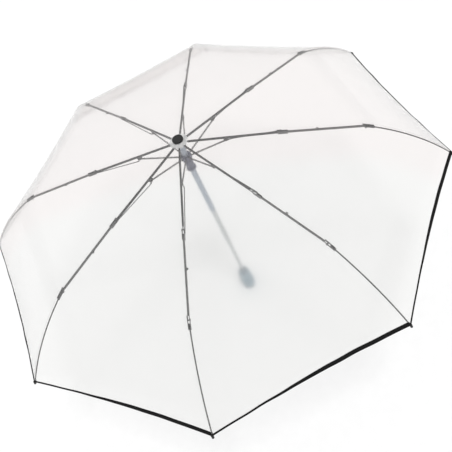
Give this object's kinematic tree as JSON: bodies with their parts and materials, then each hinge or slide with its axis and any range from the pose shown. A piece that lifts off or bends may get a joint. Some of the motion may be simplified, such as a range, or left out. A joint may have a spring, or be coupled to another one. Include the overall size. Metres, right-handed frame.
{
  "type": "folding umbrella",
  "caption": "Compact folding umbrella, open, with a clear film canopy, black hem binding, jointed steel ribs, a sliding runner and a telescopic shaft with a short grip.",
  "frame": {"origin": "middle of the handle's flat base, on the shaft's axis", "axes": "+Z along the shaft from the handle to the cap; +X along the first rib"},
  "size_m": [0.9888, 0.9888, 0.5427],
  "materials": {
    "handle_plastic": "soft-touch satin, pale blue-grey",
    "collar_plastic": "satin moulding, blue-grey",
    "shaft_alloy": "drawn tube, satin",
    "lock_steel": "polished nose",
    "top_tube_paint": "anodised, blue-grey",
    "crown_plastic": "translucent moulding, pale grey",
    "ring_wire": "zinc plated",
    "cap_plastic": "fine moulded grain, black",
    "washer_rubber": "matt",
    "clear_disc": "clear reinforcement film",
    "runner_plastic": "moulding, dark blue-grey",
    "button_plastic": "satin moulding",
    "film": "frosted clear film, about 0.2 mm thick",
    "hem_fabric": "black woven binding tape",
    "rib_steel": "zinc plated rolled channel",
    "rod_wire": "drawn wire",
    "outer_wire": "dark spring wire, black clamp and tip"
  },
  "bodies": {
    "handle": {"handle_body": "handle_plastic", "handle_collar": "collar_plastic", "handle_base": "collar_plastic", "tube_bottom": "shaft_alloy"},
    "lock_lower": {"lock_button_lower": "lock_steel"},
    "shaft_middle": {"tube_middle": "shaft_alloy"},
    "lock_upper": {"lock_button_upper": "lock_steel"},
    "shaft_top": {"tube_top": "top_tube_paint", "crown": "crown_plastic", "crown_ring": "ring_wire", "top_cap": "cap_plastic", "cap_washer": "washer_rubber", "canopy_disc": "clear_disc", "canopy": "film", "hem_binding": "hem_fabric"},
    "runner": {"runner": "runner_plastic", "runner_ring": "ring_wire"},
    "runner_button": {"runner_button": "button_plastic"},
    "inner_1": {"inner_rib_1": "rib_steel"},
    "stretcher_1": {"stretcher_1": "rib_steel"},
    "push_rod_1": {"push_rod_1": "rod_wire"},
    "middle_1": {"middle_rib_1": "rib_steel"},
    "outer_1": {"outer_rib_1": "outer_wire"},
    "inner_2": {"inner_rib_2": "rib_steel"},
    "stretcher_2": {"stretcher_2": "rib_steel"},
    "push_rod_2": {"push_rod_2": "rod_wire"},
    "middle_2": {"middle_rib_2": "rib_steel"},
    "outer_2": {"outer_rib_2": "outer_wire"},
    "inner_3": {"inner_rib_3": "rib_steel"},
    "stretcher_3": {"stretcher_3": "rib_steel"},
    "push_rod_3": {"push_rod_3": "rod_wire"},
    "middle_3": {"middle_rib_3": "rib_steel"},
    "outer_3": {"outer_rib_3": "outer_wire"},
    "inner_4": {"inner_rib_4": "rib_steel"},
    "stretcher_4": {"stretcher_4": "rib_steel"},
    "push_rod_4": {"push_rod_4": "rod_wire"},
    "middle_4": {"middle_rib_4": "rib_steel"},
    "outer_4": {"outer_rib_4": "outer_wire"},
    "inner_5": {"inner_rib_5": "rib_steel"},
    "stretcher_5": {"stretcher_5": "rib_steel"},
    "push_rod_5": {"push_rod_5": "rod_wire"},
    "middle_5": {"middle_rib_5": "rib_steel"},
    "outer_5": {"outer_rib_5": "outer_wire"},
    "inner_6": {"inner_rib_6": "rib_steel"},
    "stretcher_6": {"stretcher_6": "rib_steel"},
    "push_rod_6": {"push_rod_6": "rod_wire"},
    "middle_6": {"middle_rib_6": "rib_steel"},
    "outer_6": {"outer_rib_6": "outer_wire"},
    "inner_7": {"inner_rib_7": "rib_steel"},
    "stretcher_7": {"stretcher_7": "rib_steel"},
    "push_rod_7": {"push_rod_7": "rod_wire"},
    "middle_7": {"middle_rib_7": "rib_steel"},
    "outer_7": {"outer_rib_7": "outer_wire"},
    "inner_8": {"inner_rib_8": "rib_steel"},
    "stretcher_8": {"stretcher_8": "rib_steel"},
    "push_rod_8": {"push_rod_8": "rod_wire"},
    "middle_8": {"middle_rib_8": "rib_steel"},
    "outer_8": {"outer_rib_8": "outer_wire"}
  },
  "joints": [
    {"name": "shaft_lower_slide", "type": "slide", "parent": "handle", "child": "shaft_middle", "axis": [0, 0, -1], "range_m": [0, 0.108]},
    {"name": "shaft_upper_slide", "type": "slide", "parent": "shaft_middle", "child": "shaft_top", "axis": [0, 0, -1], "range_m": [0, 0.12]},
    {"name": "lock_lower_press", "type": "slide", "parent": "handle", "child": "lock_lower", "axis": [-1, 0, 0], "range_m": [0, 0.001], "stiffness_N_per_m": 300},
    {"name": "lock_upper_press", "type": "slide", "parent": "shaft_middle", "child": "lock_upper", "axis": [-1, 0, 0], "range_m": [0, 0.001], "stiffness_N_per_m": 300},
    {"name": "fold", "type": "hinge", "parent": "shaft_top", "child": "inner_1", "pos_m": [0.009, 0, 0.53], "axis": [0, 1, 0], "range_deg": [0, 75.5], "deforming": ["canopy", "hem_binding"]},
    {"name": "stretcher_hinge_1", "type": "hinge", "parent": "inner_1", "child": "stretcher_1", "pos_m": [0.08545, 0, 0.51062], "axis": [0, 1, 0], "range_deg": [-151.05, 0]},
    {"name": "rod_hinge_1", "type": "hinge", "parent": "stretcher_1", "child": "push_rod_1", "pos_m": [0.0898, 0, 0.50815], "axis": [0, 1, 0], "range_deg": [0, 151.05]},
    {"name": "knuckle_1", "type": "hinge", "parent": "inner_1", "child": "middle_1", "pos_m": [0.18209, 0, 0.50347], "axis": [0, 1, 0], "range_deg": [-175.15, 0]},
    {"name": "clamp_1", "type": "hinge", "parent": "middle_1", "child": "outer_1", "pos_m": [0.33883, 0, 0.4664], "axis": [0, 1, 0], "range_deg": [0, 151.95]},
    {"name": "crown_hinge_2", "type": "hinge", "parent": "shaft_top", "child": "inner_2", "pos_m": [0.00636, 0.00636, 0.53], "axis": [-0.7071, 0.7071, 0], "range_deg": [0, 75.52]},
    {"name": "stretcher_hinge_2", "type": "hinge", "parent": "inner_2", "child": "stretcher_2", "pos_m": [0.06042, 0.06042, 0.51062], "axis": [-0.7071, 0.7071, 0], "range_deg": [-151.05, 0]},
    {"name": "rod_hinge_2", "type": "hinge", "parent": "stretcher_2", "child": "push_rod_2", "pos_m": [0.0635, 0.0635, 0.50815], "axis": [-0.7071, 0.7071, 0], "range_deg": [0, 151.05]},
    {"name": "knuckle_2", "type": "hinge", "parent": "inner_2", "child": "middle_2", "pos_m": [0.12876, 0.12876, 0.50347], "axis": [-0.7071, 0.7071, 0], "range_deg": [-175.15, 0]},
    {"name": "clamp_2", "type": "hinge", "parent": "middle_2", "child": "outer_2", "pos_m": [0.23959, 0.23959, 0.4664], "axis": [-0.7071, 0.7071, 0], "range_deg": [0, 151.95]},
    {"name": "crown_hinge_3", "type": "hinge", "parent": "shaft_top", "child": "inner_3", "pos_m": [0, 0.009, 0.53], "axis": [-1, 0, 0], "range_deg": [0, 75.52]},
    {"name": "stretcher_hinge_3", "type": "hinge", "parent": "inner_3", "child": "stretcher_3", "pos_m": [0, 0.08545, 0.51062], "axis": [-1, 0, 0], "range_deg": [-151.05, 0]},
    {"name": "rod_hinge_3", "type": "hinge", "parent": "stretcher_3", "child": "push_rod_3", "pos_m": [0, 0.0898, 0.50815], "axis": [-1, 0, 0], "range_deg": [0, 151.05]},
    {"name": "knuckle_3", "type": "hinge", "parent": "inner_3", "child": "middle_3", "pos_m": [0, 0.18209, 0.50347], "axis": [-1, 0, 0], "range_deg": [-175.15, 0]},
    {"name": "clamp_3", "type": "hinge", "parent": "middle_3", "child": "outer_3", "pos_m": [0, 0.33883, 0.4664], "axis": [-1, 0, 0], "range_deg": [0, 151.95]},
    {"name": "crown_hinge_4", "type": "hinge", "parent": "shaft_top", "child": "inner_4", "pos_m": [-0.00636, 0.00636, 0.53], "axis": [-0.7071, -0.7071, 0], "range_deg": [0, 75.52]},
    {"name": "stretcher_hinge_4", "type": "hinge", "parent": "inner_4", "child": "stretcher_4", "pos_m": [-0.06042, 0.06042, 0.51062], "axis": [-0.7071, -0.7071, 0], "range_deg": [-151.05, 0]},
    {"name": "rod_hinge_4", "type": "hinge", "parent": "stretcher_4", "child": "push_rod_4", "pos_m": [-0.0635, 0.0635, 0.50815], "axis": [-0.7071, -0.7071, 0], "range_deg": [0, 151.05]},
    {"name": "knuckle_4", "type": "hinge", "parent": "inner_4", "child": "middle_4", "pos_m": [-0.12876, 0.12876, 0.50347], "axis": [-0.7071, -0.7071, 0], "range_deg": [-175.15, 0]},
    {"name": "clamp_4", "type": "hinge", "parent": "middle_4", "child": "outer_4", "pos_m": [-0.23959, 0.23959, 0.4664], "axis": [-0.7071, -0.7071, 0], "range_deg": [0, 151.95]},
    {"name": "crown_hinge_5", "type": "hinge", "parent": "shaft_top", "child": "inner_5", "pos_m": [-0.009, 0, 0.53], "axis": [0, -1, 0], "range_deg": [0, 75.52]},
    {"name": "stretcher_hinge_5", "type": "hinge", "parent": "inner_5", "child": "stretcher_5", "pos_m": [-0.08545, 0, 0.51062], "axis": [0, -1, 0], "range_deg": [-151.05, 0]},
    {"name": "rod_hinge_5", "type": "hinge", "parent": "stretcher_5", "child": "push_rod_5", "pos_m": [-0.0898, 0, 0.50815], "axis": [0, -1, 0], "range_deg": [0, 151.05]},
    {"name": "knuckle_5", "type": "hinge", "parent": "inner_5", "child": "middle_5", "pos_m": [-0.18209, 0, 0.50347], "axis": [0, -1, 0], "range_deg": [-175.15, 0]},
    {"name": "clamp_5", "type": "hinge", "parent": "middle_5", "child": "outer_5", "pos_m": [-0.33883, 0, 0.4664], "axis": [0, -1, 0], "range_deg": [0, 151.95]},
    {"name": "crown_hinge_6", "type": "hinge", "parent": "shaft_top", "child": "inner_6", "pos_m": [-0.00636, -0.00636, 0.53], "axis": [0.7071, -0.7071, 0], "range_deg": [0, 75.52]},
    {"name": "stretcher_hinge_6", "type": "hinge", "parent": "inner_6", "child": "stretcher_6", "pos_m": [-0.06042, -0.06042, 0.51062], "axis": [0.7071, -0.7071, 0], "range_deg": [-151.05, 0]},
    {"name": "rod_hinge_6", "type": "hinge", "parent": "stretcher_6", "child": "push_rod_6", "pos_m": [-0.0635, -0.0635, 0.50815], "axis": [0.7071, -0.7071, 0], "range_deg": [0, 151.05]},
    {"name": "knuckle_6", "type": "hinge", "parent": "inner_6", "child": "middle_6", "pos_m": [-0.12876, -0.12876, 0.50347], "axis": [0.7071, -0.7071, 0], "range_deg": [-175.15, 0]},
    {"name": "clamp_6", "type": "hinge", "parent": "middle_6", "child": "outer_6", "pos_m": [-0.23959, -0.23959, 0.4664], "axis": [0.7071, -0.7071, 0], "range_deg": [0, 151.95]},
    {"name": "crown_hinge_7", "type": "hinge", "parent": "shaft_top", "child": "inner_7", "pos_m": [0, -0.009, 0.53], "axis": [1, 0, 0], "range_deg": [0, 75.52]},
    {"name": "stretcher_hinge_7", "type": "hinge", "parent": "inner_7", "child": "stretcher_7", "pos_m": [0, -0.08545, 0.51062], "axis": [1, 0, 0], "range_deg": [-151.05, 0]},
    {"name": "rod_hinge_7", "type": "hinge", "parent": "stretcher_7", "child": "push_rod_7", "pos_m": [0, -0.0898, 0.50815], "axis": [1, 0, 0], "range_deg": [0, 151.05]},
    {"name": "knuckle_7", "type": "hinge", "parent": "inner_7", "child": "middle_7", "pos_m": [0, -0.18209, 0.50347], "axis": [1, 0, 0], "range_deg": [-175.15, 0]},
    {"name": "clamp_7", "type": "hinge", "parent": "middle_7", "child": "outer_7", "pos_m": [0, -0.33883, 0.4664], "axis": [1, 0, 0], "range_deg": [0, 151.95]},
    {"name": "crown_hinge_8", "type": "hinge", "parent": "shaft_top", "child": "inner_8", "pos_m": [0.00636, -0.00636, 0.53], "axis": [0.7071, 0.7071, 0], "range_deg": [0, 75.52]},
    {"name": "stretcher_hinge_8", "type": "hinge", "parent": "inner_8", "child": "stretcher_8", "pos_m": [0.06042, -0.06042, 0.51062], "axis": [0.7071, 0.7071, 0], "range_deg": [-151.05, 0]},
    {"name": "rod_hinge_8", "type": "hinge", "parent": "stretcher_8", "child": "push_rod_8", "pos_m": [0.0635, -0.0635, 0.50815], "axis": [0.7071, 0.7071, 0], "range_deg": [0, 151.05]},
    {"name": "knuckle_8", "type": "hinge", "parent": "inner_8", "child": "middle_8", "pos_m": [0.12876, -0.12876, 0.50347], "axis": [0.7071, 0.7071, 0], "range_deg": [-175.15, 0]},
    {"name": "clamp_8", "type": "hinge", "parent": "middle_8", "child": "outer_8", "pos_m": [0.23959, -0.23959, 0.4664], "axis": [0.7071, 0.7071, 0], "range_deg": [0, 151.95]},
    {"name": "runner_hinge", "type": "hinge", "parent": "stretcher_1", "child": "runner", "pos_m": [0.009, 0, 0.49123], "axis": [0, 1, 0], "range_deg": [0, 75.55]},
    {"name": "runner_button_press", "type": "slide", "parent": "runner", "child": "runner_button", "axis": [-0.9239, -0.3827, 0], "range_m": [0, 0.0015], "stiffness_N_per_m": 300}
  ],
  "couplings": [
    {"joint": "stretcher_hinge_1", "follows": "fold", "ratio": -2},
    {"joint": "rod_hinge_1", "follows": "fold", "ratio": 2},
    {"joint": "knuckle_1", "follows": "fold", "ratio": -2.3192},
    {"joint": "clamp_1", "follows": "fold", "ratio": 2.0119},
    {"joint": "crown_hinge_2", "follows": "fold", "ratio": 1},
    {"joint": "stretcher_hinge_2", "follows": "fold", "ratio": -2},
    {"joint": "rod_hinge_2", "follows": "fold", "ratio": 2},
    {"joint": "knuckle_2", "follows": "fold", "ratio": -2.3192},
    {"joint": "clamp_2", "follows": "fold", "ratio": 2.0119},
    {"joint": "crown_hinge_3", "follows": "fold", "ratio": 1},
    {"joint": "stretcher_hinge_3", "follows": "fold", "ratio": -2},
    {"joint": "rod_hinge_3", "follows": "fold", "ratio": 2},
    {"joint": "knuckle_3", "follows": "fold", "ratio": -2.3192},
    {"joint": "clamp_3", "follows": "fold", "ratio": 2.0119},
    {"joint": "crown_hinge_4", "follows": "fold", "ratio": 1},
    {"joint": "stretcher_hinge_4", "follows": "fold", "ratio": -2},
    {"joint": "rod_hinge_4", "follows": "fold", "ratio": 2},
    {"joint": "knuckle_4", "follows": "fold", "ratio": -2.3192},
    {"joint": "clamp_4", "follows": "fold", "ratio": 2.0119},
    {"joint": "crown_hinge_5", "follows": "fold", "ratio": 1},
    {"joint": "stretcher_hinge_5", "follows": "fold", "ratio": -2},
    {"joint": "rod_hinge_5", "follows": "fold", "ratio": 2},
    {"joint": "knuckle_5", "follows": "fold", "ratio": -2.3192},
    {"joint": "clamp_5", "follows": "fold", "ratio": 2.0119},
    {"joint": "crown_hinge_6", "follows": "fold", "ratio": 1},
    {"joint": "stretcher_hinge_6", "follows": "fold", "ratio": -2},
    {"joint": "rod_hinge_6", "follows": "fold", "ratio": 2},
    {"joint": "knuckle_6", "follows": "fold", "ratio": -2.3192},
    {"joint": "clamp_6", "follows": "fold", "ratio": 2.0119},
    {"joint": "crown_hinge_7", "follows": "fold", "ratio": 1},
    {"joint": "stretcher_hinge_7", "follows": "fold", "ratio": -2},
    {"joint": "rod_hinge_7", "follows": "fold", "ratio": 2},
    {"joint": "knuckle_7", "follows": "fold", "ratio": -2.3192},
    {"joint": "clamp_7", "follows": "fold", "ratio": 2.0119},
    {"joint": "crown_hinge_8", "follows": "fold", "ratio": 1},
    {"joint": "stretcher_hinge_8", "follows": "fold", "ratio": -2},
    {"joint": "rod_hinge_8", "follows": "fold", "ratio": 2},
    {"joint": "knuckle_8", "follows": "fold", "ratio": -2.3192},
    {"joint": "clamp_8", "follows": "fold", "ratio": 2.0119},
    {"joint": "runner_hinge", "follows": "fold", "ratio": 1}
  ]
}
